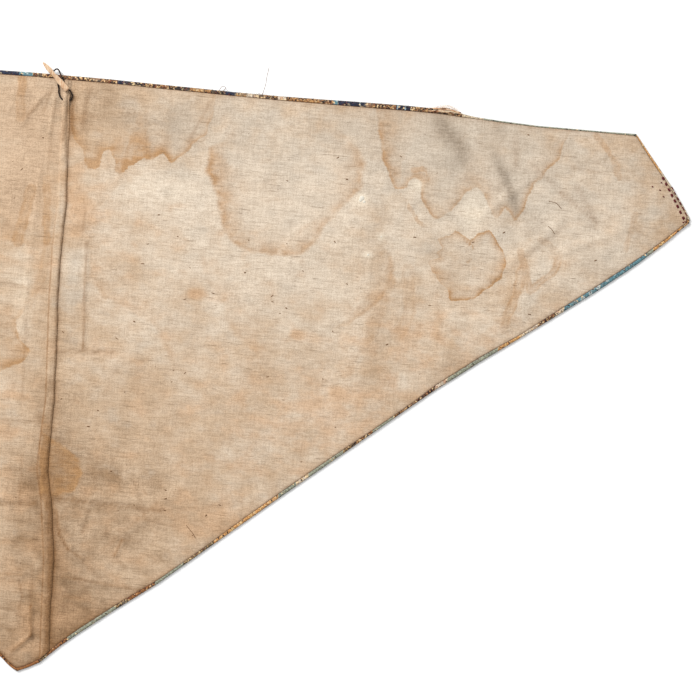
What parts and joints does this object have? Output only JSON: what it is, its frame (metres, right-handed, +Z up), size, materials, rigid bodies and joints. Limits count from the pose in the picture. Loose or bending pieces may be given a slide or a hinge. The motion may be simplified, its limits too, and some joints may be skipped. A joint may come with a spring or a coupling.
{
  "type": "triangular patchwork temple cloth",
  "caption": "Flat triangular altar cloth with a patchwork face turned up round its edge, a lapped lining, and a cord loop with a toggle at the middle of the long edge.",
  "frame": {"origin": "on the surface the cloth lies on, under the middle of the cloth's bounding box", "axes": "+X along the long top edge, +Y from the tip to the long top edge, +Z up out of the lining"},
  "size_m": [1.513, 0.7301, 0.0095],
  "materials": {
    "patchwork_face": "woven silk patches in gold, brown, navy, grey green and cream",
    "lining_left": "unbleached plain weave, water stained",
    "lining_right": "unbleached plain weave, water stained",
    "hanging_loop": "dark twisted cord",
    "toggle": "pale, smooth, matt"
  },
  "bodies": {
    "root": {"patchwork_face": "patchwork_face", "lining_left": "lining_left", "lining_right": "lining_right", "hanging_loop": "hanging_loop", "toggle": "toggle"}
  },
  "joints": []
}
